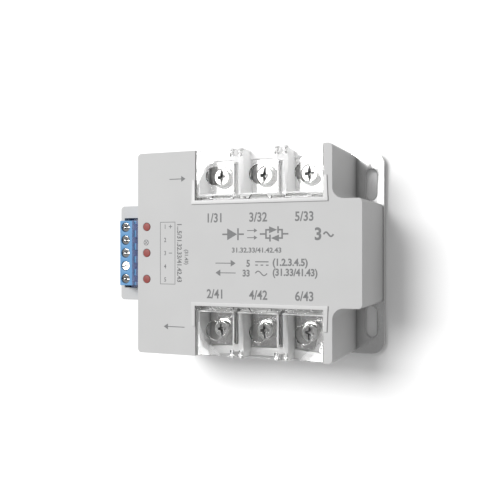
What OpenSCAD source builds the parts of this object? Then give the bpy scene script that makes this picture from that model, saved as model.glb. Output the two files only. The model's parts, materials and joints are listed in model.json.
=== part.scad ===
// Three-phase solid state relay for panel mounting: a metal base plate, a moulded housing with two
// banks of three power terminals under hinged clear covers, and a five-pole control terminal block.
// The base plate lies on Z = 0, the front face looks along +Z, the input bank is on the +Y side and
// the control terminal block is on the -X side. Phases are numbered from -X to +X.

/* [Base plate] */
// Length along X
plate_l = 105; // [104.6:0.2:110]
// Width along Y
plate_w = 79; // [78.6:0.2:84]
// Thickness
plate_t = 3; // [2.5:0.1:3.5]
// Radius of the four corners
plate_r = 5; // [2:0.5:6]
// Distance of the slot centres from the middle, along X
slot_x = 47.25; // [47:0.05:47.6]
// Distance of the slot centres from the middle, along Y
slot_y = 26.9; // [26.5:0.1:27.5]
// End-to-end length of a slot
slot_l = 12.2; // [8:0.1:13]
// Width of a slot
slot_w = 4.5; // [4.2:0.1:5]

/* [Housing] */
// Height of the front face above the underside of the plate
front_z = 37.5; // [37.5:0.1:39]
// Left side of the main body
body_left = -37.4; // [-37.6:0.1:-37.2]
// Right side of the main body
body_right = 41.2; // [41:0.1:41.4]
// Half the width of the main body along Y
body_half = 38.8; // [38.6:0.1:39]
// Left end of the low wing
wing_left = -51.8; // [-52:0.1:-51.7]
// Right end of the flush wing
wing_right = 51.8; // [51.6:0.1:52]
// Half the width of both wings along Y
wing_half = 19.2; // [19:0.1:19.6]
// Height of the low left wing
left_wing_z = 27; // [26.5:0.1:27.5]
// Wall thickness
wall = 2; // [1.6:0.1:2.2]
// Radius of the outer corners, seen from the front
corner_r = 1.5; // [0.8:0.1:2]
// Radius of the corners between body and wings
inner_r = 4; // [2:0.5:4.5]

/* [Terminal banks] */
// Distance between neighbouring power terminals
pitch = 17.55; // [17.5:0.01:17.6]
// Middle terminal of a bank, along X
bank_mid_x = 13.15; // [13.1:0.05:13.2]
// Distance of the terminal screws from the middle, along Y
screw_y = 29; // [28.8:0.1:29.2]
// Width of a terminal bay
bay_w = 13.2; // [13:0.1:13.3]
// Left end of the opening that a cover fills
bank_x0 = -12.2; // [-12.4:0.1:-12]
// Right end of the opening that a cover fills
bank_x1 = 37.9; // [37.8:0.1:38]
// Inner edge of the opening that a cover fills
bank_y0 = 19.9; // [19.8:0.1:20]
// Height of the raised rim around a bank
rim_h = 0.5; // [0.3:0.1:0.7]

/* [Covers] */
// Thickness of a clear cover
cover_t = 1.2; // [1:0.1:1.2]
// Height of a cover's top face
cover_z = 37.1; // [37.1:0.05:37.2]
// Diameter of the screwdriver holes
driver_hole_d = 7.1; // [6.5:0.1:7.5]
// Distance of the hinge line from the middle, along Y
hinge_y = 37.7; // [37.6:0.1:37.8]

/* [Power terminals] */
// Height of a terminal bar's upper face
bar_z = 27.5; // [27.3:0.1:27.7]
// Thickness of a terminal bar
bar_t = 1.2; // [1:0.1:1.2]
// Diameter of a clamp washer
washer_d = 8.6; // [8:0.1:9]
// Thickness of a clamp washer
washer_t = 0.8; // [0.6:0.1:1]
// Diameter of a power screw's head
head_d = 6.6; // [6.2:0.1:6.8]
// Height of a power screw's head
head_h = 2.2; // [2:0.1:2.4]
// Diameter of a power screw's shank
shank_d = 3.9; // [3.9:0.01:3.94]

/* [Control terminal block] */
// Distance between neighbouring poles
pole_pitch = 5.08; // [5:0.01:5.08]
// Line of the control screws, along X
control_x = -43.15; // [-43.2:0.05:-43.1]
// Length of the block along Y
block_l = 25.5; // [25.4:0.1:25.8]
// Height of the block's top face
block_z = 37.3; // [37:0.1:37.5]

/* [Indicators] */
// Line of the indicator lamps, along X
led_x = -33.4; // [-33.6:0.1:-33.2]
// Distance between neighbouring lamps
led_pitch = 10.16; // [10:0.01:10.5]
// Diameter of a lamp
led_d = 3; // [2.9:0.1:3]

/* [Hidden] */

phases = [1, 2, 3];
poles = [1, 2, 3, 4, 5];
far = 60;                // Past every outer face, for cuts that run out of the part

// Heights inside the housing
deck_z = front_z - wall;             // Underside of the front wall
bar_seat_z = bar_z - bar_t;          // Floor under the terminal bars
bank_floor_t = 2.4;                  // Plastic under the terminal bars
bank_under_z = bar_seat_z - bank_floor_t;
bay_lip_z = bar_z + 0.5;             // Lip at the outer end of a bay
barrier_z = front_z - 2.8;           // Top of the barriers between the bays
recess_z = cover_z - cover_t - 0.3;  // Ledge below a cover's ends

// Plan of the terminal banks, given for the +Y side
bay_y0 = 22.3;
bay_seat_y1 = 35.6;
bank_block_y0 = 18.2;
latch_groove_y1 = 21.7;
latch_groove_z = recess_z - 2.6;
rim_y0 = 18.4;
rim_leg_y = 27.6;
rim_left = bank_x0 - 1.6;
rim_right = bank_x1 + 1.8;

// Slot and hinge at each barrier, measured from the barrier's left side
barrier_w = pitch - bay_w;
barrier_slot_x = [0.85, 2.25];
barrier_slot_y1 = 33.9;
barrier_slot_z = 27;
hinge_cheek_t = 0.9;
hinge_cheek_y = [36.6, 38.8];
hinge_pocket_z = 32.4;
hinge_r = cover_t / 2;
hinge_z = cover_z - hinge_r;
hinge_clearance = 0.05;
hinge_snap_w = 0.9;

// Covers
cover_gap = 0.2;
cover_left = bank_x0 + cover_gap;
cover_right = bank_x1 - cover_gap;
cover_y0 = bank_y0 + cover_gap;
cover_rib_t = 0.8;
cover_rib_y = [22.5, 33.2];
cover_rib_h = 2.5;
cover_relief = 1.8;      // Room round the hinge cheeks, as a distance from the hinge line

// Terminal bars and what holds them
bar_half_w = 6.2;
bar_y = [22.5, 35.4];
riser_half_w = 4;
foot_y0 = 13.5;
nut_af = 7;
nut_h = 3.2;
nut_z = bar_seat_z - nut_h - 0.05;
nut_boss_r = 5;
nut_boss_z = 17;
screw_tip_z = 18.3;
washer_z = bar_z;
head_z = washer_z + washer_t;
washer_fall = 0.25;
washer_crown_d = 6.2;

// Power stage on the plate
substrate_t = 0.63;
substrate_half = [8, 24];
pad_t = 0.3;
die_t = 0.4;
die_w = 9;
die_y = 7;
pad_z = plate_t + substrate_t;
die_z = pad_z + pad_t;
clip_z = die_z + die_t;
clip_t = 0.5;
clip_x = [1, 3.4];
gate_y = 8.6;
gate_r = 0.4;
potting_z = [6.2, 12];

// Control board
board_z = 21.4;
board_t = 1.6;
board_top = board_z + board_t;
board_x = [-49.4, 37.4];
board_half_w = 16.8;
board_post_x = [-27.6, bank_mid_x + pitch / 2];
board_post_y = 14.2;

// Screws from beneath
boss_x = [-32, 35];
boss_y = 32.5;
boss_r = 4.4;
boss_top = 15;

// Control terminal block
block_back = control_x + 3.05;
block_front = -49.6;
block_wall = 0.8;
rib_w = 2.62;
rib_depth = 1;
rib_z = block_z - 1.2;
well_r = 1.9;
control_head_r = 1.8;
control_head_z = [34.3, 37];
control_shank_r = 1.45;
clamp_x = [-45.4, -41.6];
clamp_half_w = 1.9;
clamp_z = [26.4, 31.6];
clamp_top_t = 1;
clamp_travel = 1.5;
tongue_z = [29.7, 30.5];
wire_entry_z = [27.2, 30.4];
wire_entry_half_w = 1.75;
window_x0 = -50.1;
window_half_w = 14.25;

// Indicator lamps
led_flange_z = 31.4;
led_top = front_z + 0.1;

function phase_x(i) = bank_mid_x + (i - 2) * pitch;
function pole_y(i) = (3 - i) * pole_pitch;
function led_y(i) = (2 - i) * led_pitch;
function barrier_x(i) = phase_x(i) + bay_w / 2;

// A box given by its limits along X, Y and Z
module box(x0, x1, y0, y1, z0, z1) {
    translate([x0, y0, z0]) cube([x1 - x0, y1 - y0, z1 - z0]);
}

// A flat rectangle with round corners
module rounded_rect(x0, x1, y0, y1, r) {
    translate([x0 + r, y0]) square([x1 - x0 - 2 * r, y1 - y0]);
    translate([x0, y0 + r]) square([x1 - x0, y1 - y0 - 2 * r]);
    for (x = [x0 + r, x1 - r], y = [y0 + r, y1 - r])
        translate([x, y]) circle(r, $fn = 32);
}

// A rod along X
module rod_x(x0, x1, y, z, r) {
    translate([x0, y, z]) rotate([0, 90, 0]) cylinder(r = r, h = x1 - x0, $fn = 32);
}

// Places a child of the input bank on its own side: side 1 is the input bank, -1 the output bank
module on_side(side) {
    if (side > 0) children();
    else mirror([0, 1, 0]) children();
}

// ---- Base plate

module base_plate() {
    color("silver") difference() {
        linear_extrude(plate_t)
            rounded_rect(-plate_l / 2, plate_l / 2, -plate_w / 2, plate_w / 2, plate_r);
        for (x = [-slot_x, slot_x], y = [-slot_y, slot_y]) translate([x, y, -1]) plate_slot();
        for (x = boss_x, y = [-boss_y, boss_y]) translate([x, y, 0]) {
            translate([0, 0, -1]) cylinder(d = 3.4, h = plate_t + 2, $fn = 32);
            translate([0, 0, -0.01]) cylinder(r1 = 3.1, r2 = 1.7, h = 1.5, $fn = 32);
        }
    }
}

module plate_slot() {
    straight = slot_l - slot_w;
    translate([-slot_w / 2, -straight / 2, 0]) cube([slot_w, straight, plate_t + 2]);
    for (y = [-straight / 2, straight / 2])
        translate([0, y, 0]) cylinder(d = slot_w, h = plate_t + 2, $fn = 48);
}

// ---- Housing

module inner_corner(x, y, sx, sy) {
    translate([x, y]) mirror([sx < 0 ? 1 : 0, 0]) mirror([0, sy < 0 ? 1 : 0]) difference() {
        translate([-0.1, -0.1]) square(inner_r + 0.1);
        translate([inner_r, inner_r]) circle(inner_r, $fn = 48);
    }
}

module body_outline() {
    rounded_rect(body_left, body_right, -body_half, body_half, corner_r);
    rounded_rect(body_right - 3 * wall, wing_right, -wing_half, wing_half, corner_r);
    for (s = [-1, 1]) inner_corner(body_right, s * wing_half, 1, s);
}

module left_wing_outline() {
    rounded_rect(wing_left, body_left + 3 * wall, -wing_half, wing_half, corner_r);
    for (s = [-1, 1]) inner_corner(body_left, s * wing_half, -1, s);
}

module housing_cavity() {
    box(body_left + wall, body_right - wall, wall - body_half, body_half - wall, plate_t - 1, deck_z);
    box(body_right - 2 * wall, wing_right - wall, wall - wing_half, wing_half - wall,
        plate_t - 1, deck_z);
    box(wing_left + wall, body_left + 2 * wall, wall - wing_half, wing_half - wall,
        plate_t - 1, left_wing_z - wall);
}

// The raised rim, a U that is open towards the outer edge
module bank_rim() {
    translate([0, 0, front_z - wall / 2]) linear_extrude(rim_h + wall / 2) {
        translate([rim_left, rim_y0]) square([rim_right - rim_left, bank_y0 - rim_y0]);
        polygon([[rim_left, rim_y0], [bank_x0, rim_y0], [bank_x0, rim_leg_y],
            [bank_x0 - 1.2, rim_leg_y]]);
        polygon([[rim_right, rim_y0], [bank_x1, rim_y0], [bank_x1, rim_leg_y],
            [bank_x1 + 1.4, rim_leg_y]]);
    }
}

// The block of plastic inside the housing that the bays are cut from
module bank_block() {
    box(rim_left, body_right - wall / 2, bank_block_y0, body_half - wall / 2,
        bank_under_z, deck_z + wall / 2);
    for (i = phases)
        translate([phase_x(i), screw_y, nut_boss_z])
            cylinder(r = nut_boss_r, h = bank_under_z - nut_boss_z + 1, $fn = 48);
}

module bank_cuts() {
    box(bank_x0, bank_x1, bank_y0, far, recess_z, far);
    box(bank_x0 + 0.6, bank_x1 - 0.5, bank_y0, latch_groove_y1, latch_groove_z, far);
    for (i = phases) bay_cut(phase_x(i));
    for (i = [1, 2]) barrier_cut(barrier_x(i));
}

module bay_cut(x) {
    half = bay_w / 2;
    box(x - half, x + half, bay_y0, far, bay_lip_z, far);
    box(x - half, x + half, bay_y0, bay_seat_y1, bar_seat_z, far);
    box(x - riser_half_w - 0.3, x + riser_half_w + 0.3, bar_y[0] - 0.1, bar_y[0] + bar_t + 0.1,
        bank_under_z - 1, bar_z);
    translate([x, screw_y, nut_z - 0.05])
        cylinder(d = (nut_af + 0.3) / cos(30), h = nut_h + 1, $fn = 6);
    translate([x, screw_y, screw_tip_z - 0.3]) cylinder(r = 2.4, h = 8, $fn = 32);
}

module barrier_cut(x) {
    box(x - 0.1, x + barrier_w + 0.1, bay_y0, far, barrier_z, far);
    box(x + barrier_slot_x[0], x + barrier_slot_x[1], bank_y0 + 1, barrier_slot_y1,
        barrier_slot_z, far);
    box(x + hinge_cheek_t, x + barrier_w - hinge_cheek_t, hinge_cheek_y[0], far,
        hinge_pocket_z, far);
}

// Two cheeks at a barrier's outer end, which the cover's hinge rod snaps into from above
module hinge_cheeks(x) {
    difference() {
        for (x0 = [x, x + barrier_w - hinge_cheek_t])
            box(x0, x0 + hinge_cheek_t, hinge_cheek_y[0], hinge_cheek_y[1], hinge_pocket_z - 1, cover_z);
        rod_x(x - 1, x + barrier_w + 1, hinge_y, hinge_z, hinge_r + hinge_clearance);
        box(x - 1, x + barrier_w + 1, hinge_y - hinge_snap_w / 2, hinge_y + hinge_snap_w / 2,
            hinge_z, far);
    }
}

module housing() {
    color("lightgray") union() {
        difference() {
            union() {
                difference() {
                    union() {
                        translate([0, 0, plate_t]) linear_extrude(front_z - plate_t) body_outline();
                        translate([0, 0, plate_t]) linear_extrude(left_wing_z - plate_t)
                            left_wing_outline();
                    }
                    housing_cavity();
                }
                for (side = [1, -1]) on_side(side) {
                    bank_block();
                    bank_rim();
                }
                for (x = boss_x, y = [-boss_y, boss_y]) translate([x, y, plate_t])
                    cylinder(r = boss_r, h = boss_top - plate_t, $fn = 32);
                for (x = board_post_x, y = [-board_post_y, board_post_y])
                    translate([x, y, board_top]) cylinder(r = 2.2, h = deck_z - board_top + 1, $fn = 32);
            }
            for (side = [1, -1]) on_side(side) bank_cuts();
            for (x = boss_x, y = [-boss_y, boss_y]) translate([x, y, plate_t - 1])
                cylinder(r = 1.5, h = 11, $fn = 32);
            for (x = board_post_x, y = [-board_post_y, board_post_y])
                translate([x, y, board_top - 1]) cylinder(r = 1.05, h = 9, $fn = 24);
            for (i = phases) translate([led_x, led_y(i), deck_z - 1]) {
                cylinder(r = led_d / 2 + 0.05, h = wall + 2, $fn = 48);
                translate([0, 0, wall + 0.7])
                    cylinder(r1 = led_d / 2, r2 = led_d / 2 + 0.5, h = 0.5, $fn = 48);
            }
            box(window_x0, body_left, -window_half_w, window_half_w,
                left_wing_z - wall - 1, left_wing_z + 1);
        }
        for (side = [1, -1], i = [1, 2]) on_side(side) hinge_cheeks(barrier_x(i));
    }
}

// ---- Clear covers

// Cuts along a cover's inner edge on one side of its middle: relief, latch slot, relief
module cover_edge_cuts() {
    box(20.2, 24.6, 0, 0.8, -1, 5);
    box(5, 10, 0, 0.8, -1, 5);
    box(11.2, 18.2, 0.5, 1.3, -1, 5);
    for (u = [11.2, 18.2]) translate([u, 0.9, -1]) cylinder(r = 0.4, h = 6, $fn = 24);
}

module cover() {
    color("whitesmoke", 0.35) difference() {
        union() {
            box(cover_left, cover_right, cover_y0, hinge_y + hinge_r, cover_z - cover_t, cover_z);
            for (i = [1, 2]) {
                rib_mid = barrier_x(i) + (barrier_slot_x[0] + barrier_slot_x[1]) / 2;
                box(rib_mid - cover_rib_t / 2, rib_mid + cover_rib_t / 2, cover_rib_y[0], cover_rib_y[1],
                    cover_z - cover_t - cover_rib_h, cover_z - cover_t / 2);
            }
        }
        for (i = phases) translate([phase_x(i), screw_y, cover_z - cover_t - 1])
            cylinder(d = driver_hole_d, h = cover_t + 2, $fn = 64);
        for (i = [1, 2], x0 = [barrier_x(i), barrier_x(i) + barrier_w - hinge_cheek_t]) difference() {
            box(x0 - 0.2, x0 + hinge_cheek_t + 0.2, hinge_y - cover_relief, far, 30, far);
            rod_x(x0 - 1, x0 + 2, hinge_y, hinge_z, hinge_r);
        }
        translate([bank_mid_x, cover_y0, cover_z - cover_t]) {
            cover_edge_cuts();
            mirror([1, 0, 0]) cover_edge_cuts();
            translate([0, 0, -1]) linear_extrude(cover_t + 2)
                polygon([[-3.9, -1], [3.9, -1], [3.9, 0], [2.9, 1.5], [-2.9, 1.5], [-3.9, 0]]);
        }
    }
}

module input_cover() { cover(); }
module output_cover() { on_side(-1) cover(); }

// ---- Power terminals

// A bar of one strip: pad in the bay, riser through the bay's floor, foot on the copper pad
module terminal_bar(i, side) {
    corner = 1;
    color("gainsboro") on_side(side) translate([phase_x(i), 0, 0]) union() {
        difference() {
            translate([0, 0, bar_seat_z]) linear_extrude(bar_t) polygon([
                [-bar_half_w, bar_y[0]], [bar_half_w, bar_y[0]],
                [bar_half_w, bar_y[1] - corner], [bar_half_w - corner, bar_y[1]],
                [corner - bar_half_w, bar_y[1]], [-bar_half_w, bar_y[1] - corner]]);
            translate([0, screw_y, bar_seat_z - 1]) cylinder(r = 2.3, h = bar_t + 2, $fn = 32);
        }
        box(-riser_half_w, riser_half_w, bar_y[0], bar_y[0] + bar_t, die_z, bar_z);
        box(-riser_half_w, riser_half_w, foot_y0, bar_y[0] + bar_t, die_z, die_z + bar_t);
    }
}

// Conical spring washer
module clamp_washer(i, side) {
    color("silver") on_side(side) translate([phase_x(i), screw_y, washer_z]) difference() {
        union() {
            cylinder(d = washer_d, h = washer_t - washer_fall, $fn = 48);
            translate([0, 0, washer_t - washer_fall])
                cylinder(d1 = washer_d, d2 = washer_crown_d, h = washer_fall, $fn = 48);
        }
        translate([0, 0, -1]) cylinder(d = shank_d + 0.1, h = washer_t + 2, $fn = 32);
    }
}

// Pan head with a cross recess and a slot across it
module power_screw(i, side) {
    color("silver") on_side(side) translate([phase_x(i), screw_y, 0]) difference() {
        union() {
            translate([0, 0, head_z]) cylinder(d = head_d, h = head_h - 0.5, $fn = 48);
            translate([0, 0, head_z + head_h - 0.5])
                cylinder(d1 = head_d, d2 = head_d - 1.2, h = 0.5, $fn = 48);
            translate([0, 0, screw_tip_z + 0.5]) cylinder(d = shank_d, h = head_z - screw_tip_z, $fn = 32);
            translate([0, 0, screw_tip_z]) cylinder(d1 = shank_d - 1, d2 = shank_d, h = 0.5, $fn = 32);
        }
        translate([0, 0, head_z + head_h]) {
            for (a = [0, 90]) rotate(a) cube([3.8, 1, 2.8], center = true);
            cube([0.9, head_d + 1, 1.2], center = true);
        }
    }
}

module terminal_nuts() {
    color("silver") for (side = [1, -1], i = phases) on_side(side)
        translate([phase_x(i), screw_y, nut_z]) difference() {
            cylinder(d = nut_af / cos(30), h = nut_h, $fn = 6);
            translate([0, 0, -1]) cylinder(d = shank_d + 0.1, h = nut_h + 2, $fn = 32);
        }
}

// ---- Control terminal block

module block_profile() {
    polygon([[block_front, board_top], [block_back, board_top], [block_back, block_z],
        [block_back - 5.3, block_z], [block_back - 6, block_z - 0.7], [block_front, wire_entry_z[1]]]);
}

module control_block() {
    half = block_l / 2;
    color([0.42, 0.64, 0.84]) difference() {
        union() {
            translate([0, half, 0]) rotate([90, 0, 0]) linear_extrude(block_l) block_profile();
            for (k = [-1.5:1:1.5]) translate([0, k * pole_pitch, 0])
                box(block_back - 0.1, block_back + rib_depth, -rib_w / 2, rib_w / 2, board_top, rib_z);
            for (s = [-1, 1]) translate([0, s * (half - rib_w / 4), 0])
                box(block_back - 0.1, block_back + rib_depth, -rib_w / 4, rib_w / 4, board_top, rib_z);
        }
        for (i = poles) translate([0, pole_y(i), 0]) {
            translate([control_x, 0, control_head_z[0] - 0.1]) cylinder(r = well_r, h = 6, $fn = 32);
            translate([control_x, 0, clamp_z[1]])
                cylinder(r = control_shank_r + 0.1, h = control_head_z[0] - clamp_z[1], $fn = 32);
            box(clamp_x[0] - 0.3, block_back - block_wall, -clamp_half_w - 0.15, clamp_half_w + 0.15,
                board_top + block_wall, clamp_z[1] + clamp_travel + 0.2);
            box(block_front - 1, clamp_x[0], -wire_entry_half_w, wire_entry_half_w,
                wire_entry_z[0], wire_entry_z[1]);
            box(clamp_x[1] + 0.1, block_back - block_wall, -0.5, 0.5, board_top - 1, board_top + 1);
        }
    }
}

module control_screw(i) {
    color("gainsboro") translate([control_x, pole_y(i), 0]) difference() {
        union() {
            translate([0, 0, control_head_z[0]])
                cylinder(r = control_head_r, h = control_head_z[1] - control_head_z[0], $fn = 32);
            translate([0, 0, tongue_z[1] + 0.1])
                cylinder(r = control_shank_r, h = control_head_z[0] - tongue_z[1], $fn = 32);
        }
        translate([0, 0, control_head_z[1]]) {
            for (a = [0, 90]) rotate(a) cube([2.2, 0.6, 1.8], center = true);
            cube([5, 0.6, 1], center = true);
        }
    }
}

// A sheet-metal cage that rises round the fixed tongue
module wire_clamp(i) {
    color("goldenrod") translate([0, pole_y(i), 0]) difference() {
        box(clamp_x[0], clamp_x[1], -clamp_half_w, clamp_half_w, clamp_z[0], clamp_z[1]);
        box(clamp_x[0] - 1, clamp_x[1] + 1, -1.3, 1.3, clamp_z[0] + 0.7, clamp_z[1] - clamp_top_t);
        translate([control_x, 0, clamp_z[1] - clamp_top_t - clamp_travel - 0.5])
            cylinder(r = control_shank_r + 0.05, h = 4, $fn = 32);
    }
}

module control_contacts() {
    color("gainsboro") for (i = poles) translate([0, pole_y(i), 0]) {
        box(clamp_x[0] - 0.1, block_back - block_wall, -1.1, 1.1, tongue_z[0], tongue_z[1]);
        box(clamp_x[1] + 0.2, block_back - block_wall, -1.1, 1.1, board_top + 1, tongue_z[1]);
        box(clamp_x[1] + 0.2, block_back - block_wall, -0.4, 0.4, board_z - 1.6, board_top + 1.2);
    }
}

// ---- Control board and its parts

module control_board() {
    color("seagreen") difference() {
        translate([0, 0, board_z]) linear_extrude(board_t)
            rounded_rect(board_x[0], board_x[1], -board_half_w, board_half_w, 1);
        for (i = phases, s = [-1, 1]) translate([phase_x(i), s * gate_y, board_z - 1])
            cylinder(r = gate_r + 0.05, h = 4, $fn = 24);
        for (x = board_post_x, y = [-board_post_y, board_post_y])
            translate([x, y, board_z - 1]) cylinder(r = 1.3, h = 4, $fn = 24);
        for (i = poles) translate([(clamp_x[1] + 0.2 + block_back - block_wall) / 2, pole_y(i), board_z - 1])
            cylinder(r = 0.6, h = 4, $fn = 24);
    }
}

// Flush round lamp with a low dome and a flange
module led(i) {
    dome_r = 2;
    color("firebrick") translate([led_x, led_y(i), 0]) union() {
        translate([0, 0, led_flange_z]) cylinder(r = led_d / 2 + 0.4, h = 0.9, $fn = 32);
        intersection() {
            translate([0, 0, led_flange_z]) cylinder(r = led_d / 2, h = 10, $fn = 48);
            union() {
                translate([0, 0, led_top - dome_r]) sphere(r = dome_r, $fn = 48);
                translate([0, 0, led_flange_z])
                    cylinder(r = dome_r, h = led_top - dome_r - led_flange_z, $fn = 48);
            }
        }
    }
}

module led_leads() {
    color("silver") for (i = phases, s = [-1, 1])
        box(led_x + s * 1.27 - 0.25, led_x + s * 1.27 + 0.25, led_y(i) - 0.25, led_y(i) + 0.25,
            board_top, led_flange_z);
}

module led_spacers() {
    color("white") for (i = phases) translate([led_x, led_y(i), board_top]) difference() {
        cylinder(r = 1.9, h = led_flange_z - board_top, $fn = 32);
        for (s = [-1, 1]) translate([s * 1.27, 0, -1]) cylinder(r = 0.4, h = 12, $fn = 16);
    }
}

module gate_driver(i) {
    color("dimgray") translate([phase_x(i), 0, board_top]) union() {
        difference() {
            box(-3.2, 3.2, -4.3, 4.3, 0.5, 4);
            translate([0, -4.3, 4]) cylinder(r = 0.8, h = 1, center = true, $fn = 24);
        }
        for (s = [-1, 1], y = [-2.54, 0, 2.54]) {
            box(s > 0 ? 3.1 : -4.1, s > 0 ? 4.1 : -3.1, y - 0.4, y + 0.4, 1.8, 2.1);
            box(s > 0 ? 3.8 : -4.1, s > 0 ? 4.1 : -3.8, y - 0.4, y + 0.4, 0, 2.1);
        }
    }
}

// One resistor per gate driver, lying beside it, and one per lamp
module resistors() {
    color("tan") {
        for (i = phases) translate([phase_x(i) - 6.5, 0, board_top + 1.3]) resistor();
        for (i = phases) translate([led_x + 11.4, led_y(i), board_top + 1.3]) resistor();
    }
}

module resistor() {
    rotate([90, 0, 0]) cylinder(r = 1.1, h = 6, center = true, $fn = 24);
    rotate([90, 0, 0]) cylinder(r = 0.3, h = 8.2, center = true, $fn = 16);
    for (s = [-1, 1]) box(-0.3, 0.3, s * 3.9 - 0.3, s * 3.9 + 0.3, -1.3, 0.2);
}

module snubber_capacitors() {
    color("goldenrod") for (i = phases)
        box(phase_x(i) - 6.2, phase_x(i) + 6.2, -16, -11, board_top, board_top + 9);
}

// A disc that stands on two legs
module varistors() {
    color("steelblue") for (i = phases) translate([phase_x(i), 13, board_top]) union() {
        translate([0, 2, 6.4]) rotate([90, 0, 0]) cylinder(r = 5.2, h = 4, $fn = 48);
        for (s = [-1, 1]) box(s * 2.5 - 0.3, s * 2.5 + 0.3, -0.3, 0.3, 0, 3);
    }
}

// ---- Power stage

module substrate(i) {
    color("white") box(phase_x(i) - substrate_half[0], phase_x(i) + substrate_half[0],
        -substrate_half[1], substrate_half[1], plate_t, pad_z);
}

module copper_pads() {
    color("peru") for (i = phases, s = [-1, 1]) translate([phase_x(i), 0, 0]) mirror([0, s < 0 ? 1 : 0, 0])
        box(-7.4, 7.4, 0.8, 23.4, pad_z, die_z);
}

module thyristor_dies() {
    color("slategray") for (i = phases, s = [-1, 1])
        box(phase_x(i) - die_w / 2, phase_x(i) + die_w / 2, s * die_y - die_w / 2 + s * 0.3,
            s * die_y + die_w / 2 + s * 0.3, die_z, clip_z);
}

// A strip from the top of one die, over the other die, to the other die's pad
module die_clips() {
    color("peru") for (i = phases, s = [-1, 1])
        translate([phase_x(i), 0, 0]) rotate(s > 0 ? 0 : 180) translate([clip_x[0], 0, 0])
            rotate([90, 0, 90]) linear_extrude(clip_x[1] - clip_x[0]) clip_profile();
}

module clip_profile() {
    arch = clip_z + 1.1;
    polygon([[-10.5, clip_z], [-3.6, clip_z], [-3, arch], [12, arch], [12.4, die_z], [13.3, die_z],
        [13.3, die_z + clip_t], [12.8, die_z + clip_t], [12.5, arch + clip_t], [-3.4, arch + clip_t],
        [-4, clip_z + clip_t], [-10.5, clip_z + clip_t]]);
}

module gate_posts() {
    color("silver") for (i = phases, s = [-1, 1]) translate([phase_x(i), s * gate_y, clip_z])
        cylinder(r = gate_r, h = board_top + 1 - clip_z, $fn = 24);
}

module potting() {
    gap = 0.02;
    color("dimgray") translate([0, 0, potting_z[0]]) difference() {
        linear_extrude(potting_z[1] - potting_z[0]) union() {
            translate([body_left + wall, wall - body_half])
                square([body_right - body_left - 2 * wall, 2 * (body_half - wall)]);
            translate([wing_left + wall, wall - wing_half])
                square([wing_right - wing_left - 2 * wall, 2 * (wing_half - wall)]);
        }
        for (x = boss_x, y = [-boss_y, boss_y]) translate([x, y, -1]) {
            cylinder(r = boss_r + gap, h = 10, $fn = 32);
            translate([x < 0 ? -boss_r : 0, y < 0 ? -boss_r : 0, 0]) cube([boss_r, boss_r, 10]);
        }
        for (i = phases, side = [1, -1]) on_side(side) {
            box(phase_x(i) - riser_half_w - gap, phase_x(i) + riser_half_w + gap, bar_y[0] - gap,
                bar_y[0] + bar_t + gap, -1, 10);
            translate([phase_x(i), gate_y, -1]) cylinder(r = gate_r + gap, h = 10, $fn = 24);
        }
    }
}

// ---- Screws that hold the assembly together

module board_screws() {
    color("silver") for (x = board_post_x, y = [-board_post_y, board_post_y]) translate([x, y, 0]) {
        translate([0, 0, board_z - 1.5]) difference() {
            cylinder(r = 2.2, h = 1.5, $fn = 32);
            for (a = [0, 90]) rotate(a) cube([2.4, 0.6, 1.6], center = true);
        }
        translate([0, 0, board_z - 0.1]) cylinder(r = 1, h = 8, $fn = 24);
    }
}

module housing_screws() {
    color("silver") for (x = boss_x, y = [-boss_y, boss_y]) translate([x, y, 0.1]) difference() {
        union() {
            cylinder(r1 = 2.95, r2 = 1.45, h = 1.5, $fn = 32);
            cylinder(r = 1.45, h = 11.5, $fn = 32);
        }
        for (a = [0, 90]) rotate(a) cube([3, 0.7, 1.8], center = true);
    }
}

base_plate();
housing();
input_cover();
output_cover();
for (i = phases) {
    terminal_bar(i, 1);
    terminal_bar(i, -1);
    clamp_washer(i, 1);
    clamp_washer(i, -1);
    power_screw(i, 1);
    power_screw(i, -1);
    led(i);
    gate_driver(i);
    substrate(i);
}
for (i = poles) {
    control_screw(i);
    wire_clamp(i);
}
terminal_nuts();
control_block();
control_contacts();
control_board();
led_leads();
led_spacers();
resistors();
snubber_capacitors();
varistors();
copper_pads();
thyristor_dies();
die_clips();
gate_posts();
potting();
board_screws();
housing_screws();
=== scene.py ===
"""Looks of a three-phase solid state relay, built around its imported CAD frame.

Every length is in metres in the row frame: the base plate lies on Z = 0, the front face looks along
+Z, the input terminals are on the +Y side and the control terminals on the -X side.
"""

import json
import math

import bmesh
import bpy
from mathutils import Matrix, Vector


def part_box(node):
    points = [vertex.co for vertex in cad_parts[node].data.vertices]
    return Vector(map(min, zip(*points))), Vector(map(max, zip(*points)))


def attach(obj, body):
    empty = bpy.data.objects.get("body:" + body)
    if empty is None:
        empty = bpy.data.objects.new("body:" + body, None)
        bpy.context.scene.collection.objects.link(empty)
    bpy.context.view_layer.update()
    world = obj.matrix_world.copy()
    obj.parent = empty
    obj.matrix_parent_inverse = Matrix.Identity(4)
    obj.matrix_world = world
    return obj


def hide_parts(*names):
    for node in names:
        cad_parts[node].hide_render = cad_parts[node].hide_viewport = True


MM = 0.001
PHASES = (1, 2, 3)
POLES = (1, 2, 3, 4, 5)
BANKS = ("input", "output")

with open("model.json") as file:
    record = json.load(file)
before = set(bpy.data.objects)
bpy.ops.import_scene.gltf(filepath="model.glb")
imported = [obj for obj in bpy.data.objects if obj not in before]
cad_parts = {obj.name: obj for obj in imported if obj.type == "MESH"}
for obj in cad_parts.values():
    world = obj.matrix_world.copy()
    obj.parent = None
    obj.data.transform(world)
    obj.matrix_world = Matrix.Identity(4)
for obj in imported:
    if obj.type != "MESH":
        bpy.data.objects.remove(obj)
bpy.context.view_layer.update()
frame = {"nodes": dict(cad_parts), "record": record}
NODES = frame["nodes"]
BODIES = frame["record"]["behaviour"]["bodies"]
BODY_OF = {node: body for body, members in BODIES.items() for node in members}
SLOT_OF = {row["node"]: row["material_slot"] for row in frame["record"]["subparts"]}

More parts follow.
